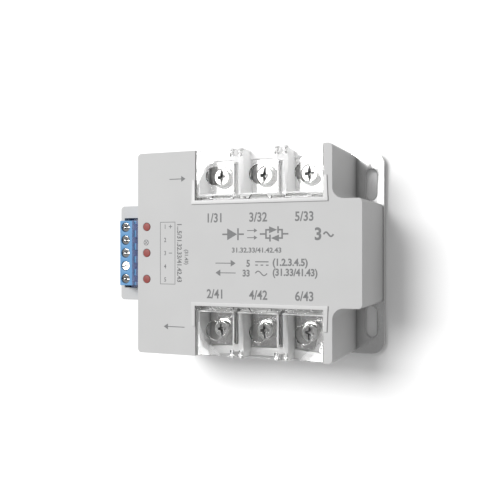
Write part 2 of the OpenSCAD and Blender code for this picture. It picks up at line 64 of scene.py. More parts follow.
COLLECTION = bpy.context.scene.collection


def middle(node, axis):
    """The middle of a CAD node's box along X, Y or Z, which are axes 0, 1 and 2."""
    low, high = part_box(node)
    return (low[axis] + high[axis]) / 2


# The front face, and the rims that stand on it round the two terminal banks
RIM_H = 0.5 * MM
RIM_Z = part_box("housing")[1].z
FRONT_Z = RIM_Z - RIM_H

# A terminal bank is as large as its cover with the play round it, and is open at the body's side
COVER_LOW, COVER_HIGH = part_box("input_cover")
END_PLAY = 0.25 * MM
INNER_PLAY = 0.3 * MM
BANK_X = (COVER_LOW.x - END_PLAY, COVER_HIGH.x + END_PLAY)
BANK_Y = COVER_LOW.y - INNER_PLAY
BODY_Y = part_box("housing")[1].y
BAY_FLOOR_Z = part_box("input_bar_1")[1].z - 2 * MM

# A cover turns about a line along its outer edge
HINGE_R = 0.6 * MM
HINGE_Y = COVER_HIGH.y - HINGE_R

# The wall of the control block that carries the ribs
RIB_H = 1 * MM
RIBBED_WALL_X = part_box("control_block")[1].x - RIB_H

SCREW_Y = middle("input_screw_1", 1)
PHASE_X = {i: middle(f"input_screw_{i}", 0) for i in PHASES}
POLE_Y = {k: middle(f"control_screw_{k}", 1) for k in POLES}


# ---------------------------------------------------------------- shader helpers


class Look:
    """A material with one Principled shader, and the few nodes that its details are made of."""

    # A Mix node's colour sockets share their names with its other sockets, so they go by number
    MIX_SHARE = 0
    MIX_FIRST = 6
    MIX_SECOND = 7
    MIX_RESULT = 2

    def __init__(self, name, color, roughness, metallic=0.0, **sockets):
        self.material = bpy.data.materials.new(name)
        self.material.use_nodes = True
        self.tree = self.material.node_tree
        self.tree.nodes.clear()
        out = self.tree.nodes.new("ShaderNodeOutputMaterial")
        self.shader = self.tree.nodes.new("ShaderNodeBsdfPrincipled")
        self.tree.links.new(self.shader.outputs["BSDF"], out.inputs["Surface"])
        self.place = self.tree.nodes.new("ShaderNodeTexCoord").outputs["Object"]
        self.color = color
        self.set("Base Color", (*color, 1.0))
        self.set("Roughness", roughness)
        self.set("Metallic", metallic)
        for socket, value in sockets.items():
            self.set(socket.replace("_", " "), value)

    def set(self, socket, value):
        self.shader.inputs[socket].default_value = value

    def feed(self, signal, socket):
        """Lets a signal drive one of the shader's sockets."""
        self.tree.links.new(signal, self.shader.inputs[socket])

    def stretched(self, stretch):
        """The place on the object, with its axes scaled by these factors."""
        mapping = self.tree.nodes.new("ShaderNodeMapping")
        mapping.inputs["Scale"].default_value = stretch
        self.tree.links.new(self.place, mapping.inputs["Vector"])
        return mapping.outputs["Vector"]

    def noise(self, size, detail=2.0, stretch=(1, 1, 1)):
        """A noise whose blotches are about `size` across, which runs from 0 to 1."""
        node = self.tree.nodes.new("ShaderNodeTexNoise")
        node.inputs["Scale"].default_value = 1 / size
        node.inputs["Detail"].default_value = detail
        self.tree.links.new(self.stretched(stretch), node.inputs["Vector"])
        return node.outputs["Fac"]

    def between(self, signal, low, high, start=0.3, end=0.7):
        """Goes from `low` to `high` while the signal goes from `start` to `end`."""
        node = self.tree.nodes.new("ShaderNodeMapRange")
        for socket, value in (("From Min", start), ("From Max", end), ("To Min", low), ("To Max", high)):
            node.inputs[socket].default_value = value
        self.tree.links.new(signal, node.inputs["Value"])
        return node.outputs["Result"]

    def roughness_from(self, signal, low, high):
        self.feed(self.between(signal, low, high), "Roughness")

    def calc(self, operation, first, second=0.0):
        """One step of arithmetic on signals or plain numbers."""
        node = self.tree.nodes.new("ShaderNodeMath")
        node.operation = operation
        for socket, value in zip(node.inputs, (first, second)):
            if hasattr(value, "links"):
                self.tree.links.new(value, socket)
            else:
                socket.default_value = value
        return node.outputs["Value"]

    def axis(self, letter):
        """The place on the object along one axis."""
        node = self.tree.nodes.new("ShaderNodeSeparateXYZ")
        self.tree.links.new(self.place, node.inputs["Vector"])
        return node.outputs[letter]

    def upright(self):
        """1 on walls, and 0 on faces that look up or down."""
        node = self.tree.nodes.new("ShaderNodeSeparateXYZ")
        normal = self.tree.nodes.new("ShaderNodeTexCoord").outputs["Normal"]
        self.tree.links.new(normal, node.inputs["Vector"])
        return self.between(self.calc("ABSOLUTE", node.outputs["Z"]), 1, 0, 0.3, 0.75)

    def beyond(self, signal, limit, blend=0.1 * MM):
        """1 where the signal is above the limit, and 0 where it is below."""
        return self.between(signal, 0, 1, limit - blend / 2, limit + blend / 2)

    def below(self, signal, limit, blend=0.1 * MM):
        """1 where the signal is below the limit, and 0 where it is above."""
        return self.between(signal, 1, 0, limit - blend / 2, limit + blend / 2)

    def inside(self, signal, low, high):
        """1 where the signal is between the two limits."""
        return self.calc("MULTIPLY", self.beyond(signal, low), self.below(signal, high))

    def mixed(self, signal, first, second):
        """A colour that goes from `first` to `second` with the signal."""
        node = self.tree.nodes.new("ShaderNodeMix")
        node.data_type = "RGBA"
        for socket, value in ((self.MIX_FIRST, first), (self.MIX_SECOND, second)):
            if hasattr(value, "links"):
                self.tree.links.new(value, node.inputs[socket])
            else:
                node.inputs[socket].default_value = (*value, 1.0)
        self.tree.links.new(signal, node.inputs[self.MIX_SHARE])
        return node.outputs[self.MIX_RESULT]

    def color_from(self, signal, darker, lighter, start=0.3, end=0.7):
        """Lets the base colour vary from `darker` to `lighter` times itself with the signal."""
        low = [c * darker for c in self.color]
        high = [min(c * lighter, 1.0) for c in self.color]
        mix = self.mixed(self.between(signal, 0, 1, start, end), low, high)
        self.feed(mix, "Base Color")
        return mix

    def bump_from(self, signal, height):
        """Adds relief, on top of any that the material has already."""
        node = self.tree.nodes.new("ShaderNodeBump")
        node.inputs["Distance"].default_value = height
        self.tree.links.new(signal, node.inputs["Height"])
        previous = self.shader.inputs["Normal"]
        if previous.is_linked:
            self.tree.links.new(previous.links[0].from_socket, node.inputs["Normal"])
        self.tree.links.new(node.outputs["Normal"], previous)


# ---------------------------------------------------------------- materials


def moulded(name, color, roughness, grain=0.25 * MM, depth=0.004 * MM):
    """Moulded plastic: a fine spark-eroded texture and a faint flow of tone."""
    look = Look(name, color, roughness)
    look.color_from(look.noise(14 * MM, 3), 0.985, 1.015)
    texture = look.noise(grain, 3)
    look.roughness_from(texture, roughness - 0.05, roughness + 0.05)
    look.bump_from(texture, depth)
    return look.material


def housing_plastic(name):
    """Light grey moulded plastic, with painted light: the bays are painted paler, and the rims round
    them, which are glossier, are painted lighter.
    """
    look = Look(name, (0.47, 0.47, 0.469), 0.5, Specular_IOR_Level=0.05)
    tone = look.color_from(look.noise(14 * MM, 3), 0.985, 1.015)
    height = look.axis("Z")
    across = look.calc("ABSOLUTE", look.axis("Y"))
    in_depth = look.inside(across, BANK_Y, BODY_Y - 0.15 * MM)
    in_height = look.inside(height, BAY_FLOOR_Z, RIM_Z - 0.9 * MM)
    in_length = look.inside(look.axis("X"), *BANK_X)
    # Painted light: the bays are painted paler, to lift the shade that falls in them under the covers.
    bay_painted_light = look.calc("MULTIPLY", in_depth, look.calc("MULTIPLY", in_height, in_length))
    with_bay_painted_light = look.mixed(bay_painted_light, tone, (0.83, 0.83, 0.825))
    # The rims are glossier, and their colour is also painted lighter: a painted highlight.
    rim = look.beyond(height, RIM_Z - RIM_H / 2)
    look.feed(look.mixed(rim, with_bay_painted_light, (0.51, 0.51, 0.508)), "Base Color")
    look.feed(look.between(rim, 0.05, 0.35, 0, 1), "Specular IOR Level")
    texture = look.noise(0.25 * MM, 3)
    smoother = look.calc("MULTIPLY", rim, 0.2)
    look.feed(look.calc("SUBTRACT", look.between(texture, 0.45, 0.55), smoother), "Roughness")
    look.bump_from(texture, 0.004 * MM)
    return look.material


def blue_plastic(name):
    """Blue moulded plastic. The wall with the ribs is painted paler than the rest: painted light on its
    shaded side.
    """
    look = Look(name, (0.11, 0.262, 0.465), 0.45, Specular_IOR_Level=0.2)
    tone = look.color_from(look.noise(8 * MM, 3), 0.98, 1.02)
    # Painted light: the shaded wall with the ribs gets a paler colour.
    at_wall = look.beyond(look.axis("X"), RIBBED_WALL_X - 0.15 * MM)
    rib_wall_painted_light = look.calc("MULTIPLY", at_wall, look.upright())
    look.feed(look.mixed(rib_wall_painted_light, tone, (0.50, 0.60, 0.95)), "Base Color")
    texture = look.noise(0.25 * MM, 3)
    look.roughness_from(texture, 0.4, 0.5)
    look.bump_from(texture, 0.003 * MM)
    return look.material


def metal(name, color, roughness, spread=0.06, grain=0.5 * MM, stretch=(1, 1, 1), depth=0.002 * MM):
    """Plated or bare metal with a drawn grain and slightly uneven gloss."""
    look = Look(name, color, roughness, metallic=1.0)
    drawn = look.noise(grain, 4, stretch)
    look.roughness_from(drawn, roughness - spread, roughness + spread)
    look.color_from(look.noise(6 * MM, 3), 0.96, 1.03)
    look.bump_from(drawn, depth)
    return look.material


def power_screw_steel(name):
    """Plated steel, polished on the head and dull in its recess, whose colour is darkened with painted
    shade.
    """
    look = Look(name, (0.66, 0.66, 0.65), 0.16, metallic=1.0)
    pitch = PHASE_X[2] - PHASE_X[1]
    first_edge = PHASE_X[1] - pitch / 2
    along = look.calc("FLOORED_MODULO", look.calc("SUBTRACT", look.axis("X"), first_edge), pitch)
    from_x = look.calc("SUBTRACT", along, pitch / 2)
    from_y = look.calc("SUBTRACT", look.calc("ABSOLUTE", look.axis("Y")), SCREW_Y)
    squares = [look.calc("MULTIPLY", way, way) for way in (from_x, from_y)]
    radius = look.calc("SQRT", look.calc("ADD", *squares))
    low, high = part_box("input_screw_1")
    in_head = look.below(radius, (high.x - low.x) / 2 - 0.45 * MM)
    recess = look.calc("MULTIPLY", in_head, look.below(look.axis("Z"), high.z - 0.1 * MM))
    bright = look.color_from(look.noise(6 * MM, 3), 0.96, 1.03)
    # Painted shade: the recess gets a darker colour, as well as more roughness.
    look.feed(look.mixed(recess, bright, (0.3, 0.3, 0.297)), "Base Color")
    drawn = look.noise(0.5 * MM, 4)
    duller = look.calc("MULTIPLY", recess, 0.3)
    look.feed(look.calc("ADD", look.between(drawn, 0.13, 0.19), duller), "Roughness")
    look.bump_from(drawn, 0.00005 * MM)
    return look.material


def clear_plastic(name):
    """Polished clear polycarbonate, with the faint waviness of a moulded sheet."""
    look = Look(name, (0.99, 0.99, 0.99), 0.03, Transmission_Weight=1.0, IOR=1.54)
    look.bump_from(look.noise(9 * MM, 1), 0.002 * MM)
    return look.material


def lamp_lens(name):
    """Diffused red epoxy, unlit."""
    look = Look(name, (0.24, 0.052, 0.045), 0.5, Specular_IOR_Level=0.3)
    look.color_from(look.noise(1.2 * MM, 3), 0.94, 1.06)
    look.bump_from(look.noise(0.3 * MM, 2), 0.002 * MM)
    return look.material


def laminate(name):
    """Blue solder mask over copper areas, with straight gaps between them."""
    gap_color, copper_color = (0.14, 0.18, 0.36), (0.19, 0.24, 0.44)
    look = Look(name, gap_color, 0.35, Coat_Weight=0.5, Coat_Roughness=0.15)
    cells = look.tree.nodes.new("ShaderNodeTexVoronoi")
    cells.distance = "MANHATTAN"
    cells.feature = "DISTANCE_TO_EDGE"
    cells.inputs["Scale"].default_value = 1 / (3.2 * MM)
    look.tree.links.new(look.place, cells.inputs["Vector"])
    tracks = look.between(cells.outputs["Distance"], 0, 1, 0.06, 0.09)
    look.feed(look.mixed(tracks, gap_color, copper_color), "Base Color")
    look.bump_from(tracks, 0.03 * MM)
    return look.material


def ceramic(name):
    """White sintered ceramic, matt and fine-grained."""
    look = Look(name, (0.85, 0.85, 0.83), 0.55)
    look.color_from(look.noise(0.6 * MM, 4), 0.96, 1.02)
    look.bump_from(look.noise(0.08 * MM, 2), 0.003 * MM)
    return look.material


def resin(name):
    """Cast black epoxy with a slightly wavy, glossy skin."""
    look = Look(name, (0.03, 0.03, 0.033), 0.25)
    look.color_from(look.noise(5 * MM, 3), 0.8, 1.3)
    look.bump_from(look.noise(7 * MM, 2), 0.15 * MM)
    return look.material


def silicon(name):
    """A silicon die with a metal skin."""
    look = Look(name, (0.16, 0.18, 0.22), 0.2, metallic=0.6)
    look.color_from(look.noise(2 * MM, 2), 0.9, 1.1)
    look.bump_from(look.noise(0.5 * MM, 1), 0.001 * MM)
    return look.material


def ink(name):
    """Grey pad-printed ink."""
    look = Look(name, (0.17, 0.172, 0.174), 0.6, Specular_IOR_Level=0.2)
    look.color_from(look.noise(0.5 * MM, 3), 0.93, 1.07)
    look.bump_from(look.noise(0.1 * MM, 2), 0.002 * MM)
    return look.material


LOOKS = {
    "plate_metal": metal(
        "plate_metal", (0.60, 0.60, 0.60), 0.14, 0.02, 0.6 * MM, (0.12, 1, 1), 0.00003 * MM
    ),
    "housing_plastic": housing_plastic("housing_plastic"),
    "clear_cover": clear_plastic("clear_cover"),
    "plated_bar": metal(
        "plated_bar", (0.55, 0.548, 0.543), 0.16, 0.03, 0.35 * MM, (1, 0.1, 1), 0.00005 * MM
    ),
    "washer_steel": metal("washer_steel", (0.58, 0.58, 0.57), 0.2, 0.03, depth=0.00005 * MM),
    "screw_steel": power_screw_steel("screw_steel"),
    "fastener_steel": metal("fastener_steel", (0.62, 0.62, 0.61), 0.28),
    "blue_plastic": blue_plastic("blue_plastic"),
    "control_screw_steel": metal(
        "control_screw_steel", (0.62, 0.62, 0.615), 0.09, 0.02, depth=0.00003 * MM
    ),
    "clamp_brass": metal("clamp_brass", (0.74, 0.68, 0.50), 0.3),
    "tinned_metal": metal("tinned_metal", (0.72, 0.72, 0.71), 0.3),
    "board_laminate": laminate("board_laminate"),
    "red_lens": lamp_lens("red_lens"),
    "spacer_nylon": moulded("spacer_nylon", (0.78, 0.78, 0.75), 0.5),
    "chip_package": moulded("chip_package", (0.035, 0.035, 0.037), 0.5, 0.12 * MM, 0.006 * MM),
    "resistor_body": moulded("resistor_body", (0.55, 0.42, 0.27), 0.4),
    "capacitor_case": moulded("capacitor_case", (0.62, 0.45, 0.06), 0.35),
    "varistor_coating": moulded("varistor_coating", (0.05, 0.13, 0.33), 0.4, 0.5 * MM, 0.02 * MM),
    "substrate_ceramic": ceramic("substrate_ceramic"),
    "bare_copper": metal("bare_copper", (0.72, 0.42, 0.30), 0.32),
    "die_silicon": silicon("die_silicon"),
    "potting_resin": resin("potting_resin"),
}
INK = ink("printed_ink")


# ---------------------------------------------------------------- mesh helpers


# Edges sharper than this many degrees are rounded, and vertices closer than WELD are one
CORNER = 28
WELD = 0.0005 * MM


def link(name, mesh, material, body):
    """Adds a piece to the scene, with one material and the body that it moves with."""
    piece = bpy.data.objects.new(name, mesh)
    COLLECTION.objects.link(piece)
    mesh.materials.clear()
    mesh.materials.append(material)
    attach(piece, body)
    return piece


def smooth(mesh):
    for face in mesh.polygons:
        face.use_smooth = True


def round_edges(piece, radius, corner=CORNER):
    """Rounds every edge sharper than `corner` degrees, and shades the flat faces flat."""
    bevel = piece.modifiers.new("rounded_edges", "BEVEL")
    bevel.width = radius
    bevel.segments = 2
    bevel.limit_method = "ANGLE"
    bevel.angle_limit = math.radians(corner)
    bevel.use_clamp_overlap = False
    bevel.loop_slide = False
    weighted = piece.modifiers.new("flat_faces_stay_flat", "WEIGHTED_NORMAL")
    weighted.keep_sharp = True
    weighted.weight = 100


def stand_for(node, mesh, radius, corner=CORNER, ending="finished"):
    """Puts a mesh in the place of a CAD node, with rounded edges and the node's body and slot."""
    slot = SLOT_OF[node]
    piece = link(f"{node}_{ending}", mesh, LOOKS[slot], BODY_OF[node])
    round_edges(piece, radius, corner)
    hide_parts(node)
    return piece


def merge_flat(shape, weld):
    """Welds vertices closer than `weld`, and merges the faces that lie in one plane."""
    bmesh.ops.remove_doubles(shape, verts=shape.verts, dist=weld)
    bmesh.ops.dissolve_limit(
        shape, angle_limit=math.radians(0.5), verts=shape.verts, edges=shape.edges
    )


def at_hinge(spot):
    """True in the small space round the covers' hinge cheeks, at the outer ends of the barriers."""
    cheek_reach, cheek_depth, behind = 2.6 * MM, 7 * MM, 2 * MM
    barriers = [(PHASE_X[i] + PHASE_X[i + 1]) / 2 for i in PHASES[:-1]]
    in_barrier = any(abs(spot.x - barrier) < cheek_reach for barrier in barriers)
    return in_barrier and abs(spot.y) > HINGE_Y - behind and spot.z > FRONT_Z - cheek_depth


def choose_edges(shape):
    """Picks the sharp edges to round: all but the fine ones at the hinges, which stay sharp."""
    weight = shape.edges.layers.float.new("bevel_weight_edge")
    for edge in shape.edges:
        corner = edge.calc_face_angle() > math.radians(CORNER)
        fine = any(at_hinge(vertex.co) for vertex in edge.verts)
        edge[weight] = 1.0 if corner and not fine else 0.0
        edge.smooth = not (corner and fine)


def finished(node, radius, hinged=False):
    """Stands for a CAD node: its own faces, welded and tidied where flat, with rounded edges.

    A face with many corners, such as one round a hole, is cut up, so that it is still filled the
    same way after its corners move. A hinged piece keeps the fine edges at its hinges sharp.
    """
    mesh = NODES[node].data.copy()
    cleaned = bmesh.new()
    cleaned.from_mesh(mesh)
    for face in cleaned.faces:
        face.smooth = True
    merge_flat(cleaned, 0.0001 * MM)
    bmesh.ops.triangulate(cleaned, faces=[face for face in cleaned.faces if len(face.verts) > 4])
    if hinged:
        choose_edges(cleaned)
    cleaned.to_mesh(mesh)
    cleaned.free()
    piece = stand_for(node, mesh, radius)
    if hinged:
        piece.modifiers["rounded_edges"].limit_method = "WEIGHT"


def lathe(profile, steps=64):
    """A closed solid of revolution round Z.

    The profile is a list of (radius, height) points. It starts and ends on the axis, or, for a
    ring, comes back to its first point.
    """
    shape = bmesh.new()
    turns = [2 * math.pi * k / steps for k in range(steps)]
    rings = []
    for radius, height in profile:
        angles = turns if radius else turns[:1]
        spots = [(radius * math.cos(angle), radius * math.sin(angle), height) for angle in angles]
        rings.append([shape.verts.new(spot) for spot in spots])
    for low, high in zip(rings, rings[1:]):
        for k in range(steps):
            n = k + 1
            corners = [low[k % len(low)], low[n % len(low)], high[n % len(high)], high[k % len(high)]]
            shape.faces.new(list(dict.fromkeys(corners)))
    bmesh.ops.recalc_face_normals(shape, faces=shape.faces)
    return shape


def arc(center, radius, start, end, steps=6):
    """Points on an arc in the (radius, height) plane, with its angles in degrees."""
    angles = [math.radians(start + (end - start) * k / steps) for k in range(steps + 1)]
    return [(center[0] + radius * math.cos(a), center[1] + radius * math.sin(a)) for a in angles]


def block(shape, low, high, low_share):
    """Adds a box. Its lower face is smaller than its upper one where a share is less than 1."""
    mid = [(a + b) / 2 for a, b in zip(low, high)]
    half = [(b - a) / 2 for a, b in zip(low, high)]
    corners = []
    for z, share in ((low[2], low_share), (high[2], (1, 1))):
        for sx, sy in ((-1, -1), (1, -1), (1, 1), (-1, 1)):
            x = mid[0] + sx * half[0] * share[0]
            y = mid[1] + sy * half[1] * share[1]
            corners.append(shape.verts.new((x, y, z)))
    for face in ((3, 2, 1, 0), (4, 5, 6, 7), (0, 1, 5, 4), (1, 2, 6, 5), (2, 3, 7, 6), (3, 0, 4, 7)):
        shape.faces.new([corners[k] for k in face])


def to_mesh(shape, name):
    """A mesh made of a bmesh, which is used up."""
    mesh = bpy.data.meshes.new(name)
    shape.to_mesh(mesh)
    shape.free()
    return mesh


def baked(piece):
    """The mesh of an object with its modifiers applied. The object itself is removed."""
    bpy.context.view_layer.update()
    depsgraph = bpy.context.evaluated_depsgraph_get()
    mesh = bpy.data.meshes.new_from_object(piece.evaluated_get(depsgraph))
    bpy.data.objects.remove(piece)
    return mesh


def carved(solid, cutters, name):
    """The solid with each cutter taken away from it. All of them are bmeshes, and are used up."""
    body = bpy.data.objects.new(name, to_mesh(solid, name))
    COLLECTION.objects.link(body)
    tools = []
    for cutter in cutters:
        tool = bpy.data.objects.new("cutter", to_mesh(cutter, "cutter"))
        COLLECTION.objects.link(tool)
        cut = body.modifiers.new("cut", "BOOLEAN")
        cut.operation = "DIFFERENCE"
        cut.solver = "EXACT"
        cut.object = tool
        tools.append(tool)
    mesh = baked(body)
    for tool in tools:
        bpy.data.objects.remove(tool)
    cleaned = bmesh.new()
    cleaned.from_mesh(mesh)
    merge_flat(cleaned, 0.001 * MM)
    cleaned.to_mesh(mesh)
    cleaned.free()
    return mesh


# ---------------------------------------------------------------- screws


M4_PITCH = 0.7 * MM
M3_PITCH = 0.5 * MM
CONTROL_HEAD_H = 2.7 * MM


def thread(radius, depth, pitch, low, high):
    """A threaded rod from `low` to `high`: one ridge that winds round a core, cut square at both ends."""
    shape = bmesh.new()
    steps = 24
    wave = (0.0, 0.35, 1.0, 0.35)
    rows_per_turn = len(wave)
    count = int((high - low) / pitch + 2) * rows_per_turn
    grid = []
    for k in range(steps + 1):
        column = []
        for j in range(count + 1):
            height = low + pitch * (j / rows_per_turn + k / steps - 1)
            inside = low < height < high
            crest = wave[j % rows_per_turn] if inside else 0.0
            r = radius - depth * (1 - crest)
            angle = 2 * math.pi * (k % steps) / steps
            spot = (r * math.cos(angle), r * math.sin(angle), min(max(height, low), high))
            column.append(shape.verts.new(spot))
        grid.append(column)
    for left, right in zip(grid, grid[1:]):
        for j in range(count):
            shape.faces.new((left[j], right[j], right[j + 1], left[j + 1]))
    bmesh.ops.remove_doubles(shape, verts=shape.verts, dist=WELD)
    bmesh.ops.dissolve_degenerate(shape, edges=shape.edges, dist=WELD)
    bmesh.ops.holes_fill(shape, edges=[e for e in shape.edges if e.is_boundary], sides=0)
    bmesh.ops.recalc_face_normals(shape, faces=shape.faces)
    return shape


def blade_cutter(top, size_x, size_y, depth, low_share):
    """A cutter round the axis that goes `depth` into a head, and starts clear of its top."""
    cutter = bmesh.new()
    low = (-size_x / 2, -size_y / 2, top - depth)
    high = (size_x / 2, size_y / 2, top + 1 * MM)
    block(cutter, low, high, low_share)
    return cutter


def cross_recess(top, reach, width, depth):
    """Cutters of a cross recess: two blades that taper downwards."""
    reach_share, width_share = 0.35, 0.4
    return [
        blade_cutter(top, reach, width, depth, (reach_share, width_share)),
        blade_cutter(top, width, reach, depth, (width_share, reach_share)),
    ]


def slot_cutter(top, length, width, depth, along_x):
    """A cutter of a straight slot, with sides that taper downwards."""
    if along_x:
        return blade_cutter(top, length, width, depth, (1, 0.6))
    return blade_cutter(top, width, length, depth, (0.6, 1))


def joined(meshes, name):
    """The meshes as one, each still a closed solid of its own."""
    shape = bmesh.new()
    for mesh in meshes:
        shape.from_mesh(mesh)
    return to_mesh(shape, name)


def power_screw_mesh():
    """An M4 combination screw: a raised pan head, and a threaded shank. Z = 0 is under the head."""
    node_low, node_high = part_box("input_screw_1")
    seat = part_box("input_washer_1")[1].z
    head_r = (node_high.x - node_low.x) / 2
    head_h = node_high.z - seat
    foot = 0.15 * MM
    rim_r = 0.5 * MM
    edge = arc((head_r - rim_r, head_h - rim_r), rim_r, 0, 88)
    profile = [(0, 0), (head_r - foot, 0), (head_r, foot), *edge, (0, head_h)]
    cutters = [
        slot_cutter(head_h, 3 * head_r, 1.0 * MM, 1.0 * MM, along_x=False),
        *cross_recess(head_h, 4.8 * MM, 1.6 * MM, 1.7 * MM),
    ]
    head = carved(lathe(profile), cutters, "power_screw_head")
    # The plain neck reaches a little into the head, and the threaded rod a little into the neck
    shank_r = 1.95 * MM
    neck_low, neck_high = -1.2 * MM, 0.05 * MM
    chamfer = 0.25 * MM
    neck_profile = [(0, neck_low), (shank_r - chamfer, neck_low), (shank_r, neck_low + chamfer),
                    (shank_r, neck_high), (0, neck_high)]
    neck = to_mesh(lathe(neck_profile, 32), "neck")
    tip = node_low.z - seat
    rod = to_mesh(thread(shank_r, 0.38 * MM, M4_PITCH, tip, neck_low + 0.1 * MM), "rod")
    return joined([head, neck, rod], "power_screw")


def control_screw_mesh(tilt):
    """A small combination screw, whose head's top leans by `tilt` degrees. Z = 0 is under the head."""
    node_low, node_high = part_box("control_screw_1")
    head_r = (node_high.x - node_low.x) / 2
    head_h = CONTROL_HEAD_H
    seat = node_high.z - head_h
    rim_r = 0.25 * MM
    edge = arc((head_r - rim_r, head_h - rim_r), rim_r, 0, 90)
    profile = [(0, 0), (head_r, 0), *edge, (0, head_h)]
    cutters = [
        slot_cutter(head_h, 3 * head_r, 0.5 * MM, 0.3 * MM, along_x=True),
        *cross_recess(head_h, 1.9 * MM, 0.5 * MM, 0.5 * MM),
    ]
    head = carved(lathe(profile, 48), cutters, "control_screw_head")
    for vertex in head.vertices:
        vertex.co.z += vertex.co.y * math.tan(math.radians(tilt)) * max(vertex.co.z, 0) / head_h
    tip = node_low.z - seat
    rod = to_mesh(thread(1.45 * MM, 0.28 * MM, M3_PITCH, tip, 0.05 * MM), "rod")
    return joined([head, rod], "control_screw")


def place_screw(node, mesh, seat, turn):
    """Sets a screw's mesh on its seat, turned by some degrees."""
    low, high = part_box(node)
    mid = (low + high) / 2
    own = mesh.copy()
    own.transform(Matrix.Translation((mid.x, mid.y, seat)) @ Matrix.Rotation(math.radians(turn), 4, "Z"))
    smooth(own)
    stand_for(node, own, 0.05 * MM, corner=40)


def washer(node):
    """A conical spring washer, flattest under the screw's head."""
    low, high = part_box(node)
    mid = (low + high) / 2
    outer = (high.x - low.x) / 2
    inner = 2.15 * MM
    crown_r = 3.1 * MM
    edge_r = 0.12 * MM
    foot = 0.1 * MM
    rim = high.z - (outer - crown_r) * math.tan(math.radians(13))
    profile = [
        (inner, low.z), (outer - foot, low.z), (outer, low.z + foot), (outer, rim - edge_r),
        (outer - edge_r, rim + 0.02 * MM), (crown_r, high.z), (inner, high.z),
    ]
    shape = lathe([*profile, profile[0]], 72)
    bmesh.ops.remove_doubles(shape, verts=shape.verts, dist=WELD)
    mesh = to_mesh(shape, f"{node}_ring")
    mesh.transform(Matrix.Translation((mid.x, mid.y, 0)))
    smooth(mesh)
    stand_for(node, mesh, 0.04 * MM, corner=30)


# ---------------------------------------------------------------- indicator lamps


def lamp(node):
    """A round lamp with a low dome and a flange that the housing holds down."""
    low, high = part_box(node)
    mid = (low + high) / 2
    flange_r = (high.x - low.x) / 2
    flange_top = low.z + 0.9 * MM
    lens_r = flange_r - 0.4 * MM
    dome_r = 9 * MM
    rise = math.degrees(math.asin(lens_r / dome_r))
    dome = arc((0, high.z - dome_r), dome_r, 90 - rise, 90, 8)[:-1]
    profile = [(0, low.z), (flange_r, low.z), (flange_r, flange_top), (lens_r, flange_top),
               *dome, (0, high.z)]
    mesh = to_mesh(lathe(profile), f"{node}_lens")
    mesh.transform(Matrix.Translation((mid.x, mid.y, 0)))
    smooth(mesh)
    stand_for(node, mesh, 0.06 * MM, corner=40, ending="lens")


# ---------------------------------------------------------------- printed marks


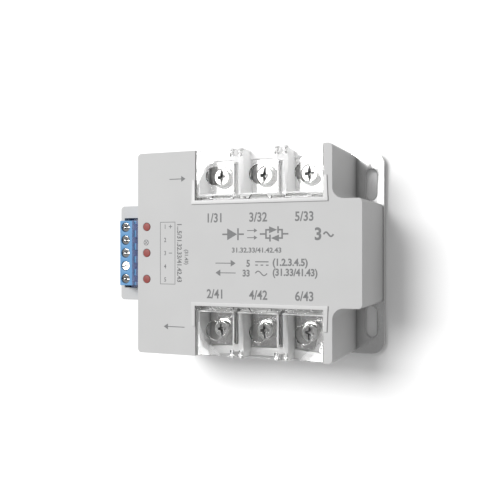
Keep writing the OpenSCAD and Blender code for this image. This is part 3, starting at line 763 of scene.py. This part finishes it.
class Print:
    """Flat marks on the front face. They are drawn in millimetres and stand a hair proud of the face."""

    THICKNESS = 0.03 * MM
    SUNK = 0.015 * MM
    STEP = 0.0002 * MM
    LINE = 0.32

    def __init__(self, height):
        self.shape = bmesh.new()
        self.low = height - self.SUNK

    def area(self, outline):
        """A filled outline, as a thin closed plate. Each plate stands a step higher than the last one."""
        self.low += self.STEP
        bottom = [self.shape.verts.new((x * MM, y * MM, self.low)) for x, y in outline]
        top = [self.shape.verts.new((x * MM, y * MM, self.low + self.THICKNESS)) for x, y in outline]
        self.shape.faces.new(bottom[::-1])
        self.shape.faces.new(top)
        count = len(outline)
        for k in range(count):
            n = (k + 1) % count
            self.shape.faces.new((bottom[k], bottom[n], top[n], top[k]))

    def line(self, points, width=LINE):
        """A line through the points, with mitred corners."""
        spots = [Vector(p) for p in points]
        left, right = [], []
        for k, spot in enumerate(spots):
            before = (spot - spots[k - 1]).normalized() if k else None
            after = (spots[k + 1] - spot).normalized() if k + 1 < len(spots) else None
            ahead = ((before or after) + (after or before)).normalized()
            across = Vector((-ahead.y, ahead.x))
            edge = before or after
            reach = width / 2 / max(across.dot(Vector((-edge.y, edge.x))), 0.5)
            left.append(spot + across * reach)
            right.append(spot - across * reach)
        self.area([tuple(p) for p in right + left[::-1]])

    def frame(self, x0, x1, y0, y1, width):
        """A rectangle of four lines, drawn inside its limits."""
        self.line([(x0, y0 + width / 2), (x1, y0 + width / 2)], width)
        self.line([(x0, y1 - width / 2), (x1, y1 - width / 2)], width)
        self.line([(x0 + width / 2, y0 + width), (x0 + width / 2, y1 - width)], width)
        self.line([(x1 - width / 2, y0 + width), (x1 - width / 2, y1 - width)], width)

    def arrow(self, x0, x1, y, height):
        """An arrow from x0 to x1."""
        way = 1 if x1 > x0 else -1
        neck = x1 - way * height * 0.8
        self.line([(x0, y), (neck, y)])
        self.area([(neck, y - way * height / 2), (x1, y), (neck, y + way * height / 2)])

    def wave(self, x0, x1, y, height, width):
        """One period of a sine: the sign for alternating current."""
        steps = 16
        self.line([
            (x0 + (x1 - x0) * k / steps, y + height / 2 * math.sin(2 * math.pi * k / steps))
            for k in range(steps + 1)
        ], width)

    def direct(self, x0, x1, y, gap, width):
        """A line over three dashes: the sign for direct current."""
        self.line([(x0, y + gap / 2), (x1, y + gap / 2)], width)
        step = (x1 - x0) / 5
        for k in (0, 2, 4):
            self.line([(x0 + k * step, y - gap / 2), (x0 + (k + 1) * step, y - gap / 2)], width)

    def digits(self, text, x, y, height, narrow=0.82, bold=0.022, turn=0):
        """Numerals centred on a point, with the given height.

        Their width is scaled by `narrow`, `bold` thickens their strokes, and `turn` is in degrees.
        """
        curve = bpy.data.curves.new("numerals", "FONT")
        curve.body = text
        curve.fill_mode = "BOTH"
        curve.extrude = self.THICKNESS / 2 / MM
        curve.resolution_u = 4
        curve.offset = bold
        temporary = bpy.data.objects.new("numerals", curve)
        COLLECTION.objects.link(temporary)
        mesh = baked(temporary)
        low = Vector([min(v.co[a] for v in mesh.vertices) for a in range(3)])
        high = Vector([max(v.co[a] for v in mesh.vertices) for a in range(3)])
        mid = (low + high) / 2
        size = height / (high.y - low.y)
        mesh.transform(
            Matrix.Translation((x * MM, y * MM, self.low + self.THICKNESS / 2))
            @ Matrix.Rotation(math.radians(turn), 4, "Z")
            @ Matrix.Diagonal((size * narrow * MM, size * MM, MM, 1))
            @ Matrix.Translation((-mid.x, -mid.y, 0))
        )
        self.shape.from_mesh(mesh)

    def finish(self, name):
        """Makes one piece of all that was drawn."""
        bmesh.ops.remove_doubles(self.shape, verts=self.shape.verts, dist=WELD)
        bmesh.ops.recalc_face_normals(self.shape, faces=self.shape.faces)
        return link(name, to_mesh(self.shape, name), INK, "root")


# Heights in millimetres of the rows of marks that numerals and signs share
CONTROL_ROW = -3.7
POWER_ROW = -7.3


def numerals():
    """The terminals' numbers, and the groups of numbers in the two rows and beside the control block."""
    art = Print(FRONT_Z)
    for i in PHASES:
        x = PHASE_X[i] / MM + 0.2
        art.digits(f"{2 * i - 1}/3{i}", x, 13.2, 3.5, 0.86)
        art.digits(f"{2 * i}/4{i}", x, -15.2, 3.5, 0.86)
    for k in POLES:
        art.digits(str(k), -25.2, POLE_Y[k] / MM, 1.7)
    art.digits("31.32.33/41.42.43", 12.6, 1.15, 1.9, 1.1, 0.03)
    art.digits("5", 9.4, CONTROL_ROW, 2.6, 0.9, 0.035)
    art.digits("(1.2.3.4.5)", 25.6, CONTROL_ROW + 0.1, 3.5, 0.95, 0.035)
    art.digits("33", 8.6, POWER_ROW, 2.6, 0.9, 0.035)
    art.digits("(31.33/41.43)", 27.4, POWER_ROW + 0.1, 3.5, 0.9, 0.035)
    art.digits("3", 36.0, 6.9, 4.6, 0.95, 0.03)
    art.digits("1...5/31.32.33/41.42.43", -19.0, 0.0, 2.0, 0.95, 0.03, -90)
    art.digits("(31.43)", -16.2, -1.5, 2.0, 1.0, 0.03, -90)
    art.finish("print_numbers")


def signs():
    """The box of the control numbers with its plus and minus signs, the arrows, and the current signs."""
    art = Print(FRONT_Z)
    art.frame(-27.4, -20.8, -12.0, 12.0, 0.22)
    for k in (1, 3):
        y = POLE_Y[k] / MM
        art.line([(-23.6, y), (-22.2, y)], 0.3)
    y = POLE_Y[1] / MM
    art.line([(-22.9, y - 0.7), (-22.9, y + 0.7)], 0.3)
    art.arrow(-23.3, -16.4, 28.3, 2.3)
    art.arrow(-16.8, -25.8, -28.2, 2.3)
    # Control row: an arrow in and direct current. Power row: an arrow out and alternating current
    art.arrow(-3.8, 4.4, CONTROL_ROW, 2.5)
    art.direct(12.2, 17.4, CONTROL_ROW, 1.2, 0.42)
    art.arrow(4.4, -3.8, POWER_ROW, 2.5)
    art.wave(12.2, 16.8, POWER_ROW, 1.6, 0.42)
    # Beside the numeral 3: three-phase current
    art.wave(38.0, 41.6, 6.7, 1.5, 0.6)
    lamp_sign(art, -33.6, 4.1, 1.0)
    art.finish("print_signs")


def lamp_sign(art, x, y, radius):
    """A ring with a cross in it."""
    steps = 20
    width = 0.25
    ring = [2 * math.pi * k / steps for k in range(steps + 1)]
    art.line([(x + radius * math.cos(a), y + radius * math.sin(a)) for a in ring], width)
    reach = radius * 0.62
    art.line([(x - reach, y - reach), (x + reach, y + reach)], width)
    art.line([(x - reach, y + reach), (x + reach, y - reach)], width)


WIRE = 0.6
BAR_OFFSET = 0.35


def valve(art, x0, x1, y, half):
    """A diode symbol that points from x0 to x1, with its bar at the tip."""
    way = 1 if x1 > x0 else -1
    bar_x = x1 + way * BAR_OFFSET
    art.area([(x0, y - half * way), (x1, y), (x0, y + half * way)])
    art.line([(bar_x, y - half), (bar_x, y + half)], WIRE)


def schematic():
    """A generic circuit sign for a relay of this kind: a diode that gives light, and a pair of valves."""
    art = Print(FRONT_Z)
    y = 7.0
    art.line([(-1.0, y), (1.0, y)], WIRE)
    valve(art, 1.0, 5.0, y, 2.2)
    art.line([(5.7, y), (7.7, y)], WIRE)
    for offset in (1.3, -1.3):
        art.arrow(9.0, 13.0, y + offset, 1.6)
    # Two valves stand between two upright wires, one at `lift` above the middle and one as far
    # below it. They point opposite ways, and a short wire leads to each one's base and bar
    left, right, lift = 16.4, 22.6, 1.5
    half_wire = WIRE / 2
    art.line([(14.0, y), (left - half_wire, y)], WIRE)
    for upright in (left, right):
        art.line([(upright, y - lift - half_wire), (upright, y + lift + half_wire)], WIRE)
    art.line([(right + half_wire, y), (25.0, y)], WIRE)
    start_gap, tip_gap = 1.2, 1.9
    valve(art, left + start_gap, right - tip_gap, y + lift, 1.25)
    valve(art, right - start_gap, left + tip_gap, y - lift, 1.25)
    for level, left_bar, right_bar in ((y + lift, 0, BAR_OFFSET), (y - lift, BAR_OFFSET, 0)):
        art.line([(left + half_wire, level), (left + start_gap + left_bar, level)], WIRE)
        art.line([(right - start_gap - right_bar, level), (right - half_wire, level)], WIRE)
    art.finish("print_schematic")


# ---------------------------------------------------------------- build

# The edge radius of each CAD node that keeps its own shape, in millimetres
EDGE_RADIUS = {
    "base_plate": 0.25,
    "terminal_nuts": 0.15,
    "control_block": 0.12,
    "control_contacts": 0.06,
    "control_board": 0.05,
    "led_leads": 0.04,
    "led_spacers": 0.1,
    "resistors": 0.03,
    "snubber_capacitors": 0.35,
    "varistors": 0.12,
    "copper_pads": 0.04,
    "die_clips": 0.05,
    "thyristor_dies": 0.03,
    "gate_posts": 0.05,
    "potting": 0.1,
    "board_screws": 0.1,
    "housing_screws": 0.05,
}


def build_pieces():
    """Builds the pieces that keep their CAD shapes, and the washers."""
    for node, radius in EDGE_RADIUS.items():
        finished(node, radius * MM)
    for bank in BANKS:
        finished(f"{bank}_cover", 0.07 * MM, hinged=True)
    finished("housing", 0.16 * MM, hinged=True)
    for i in PHASES:
        finished(f"gate_driver_{i}", 0.06 * MM)
        finished(f"substrate_{i}", 0.05 * MM)
        for bank in BANKS:
            finished(f"{bank}_bar_{i}", 0.1 * MM)
            washer(f"{bank}_washer_{i}")
    for k in POLES:
        finished(f"wire_clamp_{k}", 0.08 * MM)


def build_screws():
    """Places the screws, each turned in its own way. The control screws' heads lean as well."""
    power = power_screw_mesh()
    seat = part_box("input_washer_1")[1].z
    turns = {"input": (4, -3, 2), "output": (6, 3, -4)}
    for bank in BANKS:
        for i, turn in zip(PHASES, turns[bank]):
            place_screw(f"{bank}_screw_{i}", power, seat, turn)
    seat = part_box("control_screw_1")[1].z - CONTROL_HEAD_H
    control_turns = (3, -4, 2, 8, -6)
    tilts = (6.5, 6.0, 1.8, -2.6, 5.5)
    for k, turn, tilt in zip(POLES, control_turns, tilts):
        place_screw(f"control_screw_{k}", control_screw_mesh(tilt), seat, turn)


build_pieces()
build_screws()
for i in PHASES:
    lamp(f"led_{i}")
numerals()
signs()
schematic()


# ---------------------------------------------------------------- floor, light and camera


# Where the camera stands, and how many degrees it is turned about Y from looking straight down
EYE = (0.1068, 0.00119, 0.2724)
EYE_TURN = 22.367


def floor():
    """A white surface that the plate lies on. It is clear from beneath, to show the underside."""
    mesh = bpy.data.meshes.new("floor")
    half, level = 2.0, -0.1 * MM
    corners = [(x * half, y * half, level) for x, y in ((-1, -1), (1, -1), (1, 1), (-1, 1))]
    mesh.from_pydata(corners, [], [(0, 1, 2, 3)])
    piece = bpy.data.objects.new("floor", mesh)
    COLLECTION.objects.link(piece)
    look = Look("floor_paint", (0.81, 0.81, 0.81), 0.9, Specular_IOR_Level=0.0,
                Emission_Color=(1, 1, 1, 1), Emission_Strength=0.09)
    look.color_from(look.noise(0.3, 2), 0.995, 1.005)
    nodes, links = look.tree.nodes, look.tree.links
    see_through = nodes.new("ShaderNodeBsdfTransparent")
    mix = nodes.new("ShaderNodeMixShader")
    links.new(nodes.new("ShaderNodeNewGeometry").outputs["Backfacing"], mix.inputs[0])
    links.new(look.shader.outputs[0], mix.inputs[1])
    links.new(see_through.outputs[0], mix.inputs[2])
    links.new(mix.outputs[0], nodes["Material Output"].inputs["Surface"])
    mesh.materials.append(look.material)


def softbox(name, height, span_x, span_y, radiance):
    """A rectangular light that faces straight down, given by what it shows in a mirror.

    Its spans are slopes: how far each edge lies from the object, for one unit of height.
    """
    light = bpy.data.lights.new(name, "AREA")
    light.shape = "RECTANGLE"
    light.size = height * (span_x[1] - span_x[0])
    light.size_y = height * (span_y[1] - span_y[0])
    light.energy = radiance * math.pi * light.size * light.size_y
    lit_from = bpy.data.objects.new(name, light)
    COLLECTION.objects.link(lit_from)
    lit_from.location = (height * sum(span_x) / 2, height * sum(span_y) / 2, height)


def camera():
    """A 50 mm lens that looks at the front face from the right."""
    data = bpy.data.cameras.new("camera")
    data.lens = 50
    data.sensor_width = 36
    eye = bpy.data.objects.new("camera", data)
    COLLECTION.objects.link(eye)
    eye.location = EYE
    eye.rotation_euler = (0, math.radians(EYE_TURN), 0)
    bpy.context.scene.camera = eye


def sky(radiance):
    """An even white light from all round."""
    world = bpy.data.worlds.new("studio")
    world.use_nodes = True
    world.node_tree.nodes["Background"].inputs["Color"].default_value = (1, 1, 1, 1)
    world.node_tree.nodes["Background"].inputs["Strength"].default_value = radiance
    bpy.context.scene.world = world


floor()
# One key light in three parts: a broad box, a weaker strip beside it, and a bright core under both
softbox("key_softbox", 3.0, (-0.92, -0.26), (0.01, 0.78), 4.0)
softbox("key_edge", 3.0, (-0.26, -0.09), (0.01, 0.78), 1.7)
softbox("key_core", 2.9, (-0.72, -0.16), (0.18, 0.58), 16.7)
sky(0.335)
camera()
bpy.context.scene.view_settings.view_transform = "Standard"
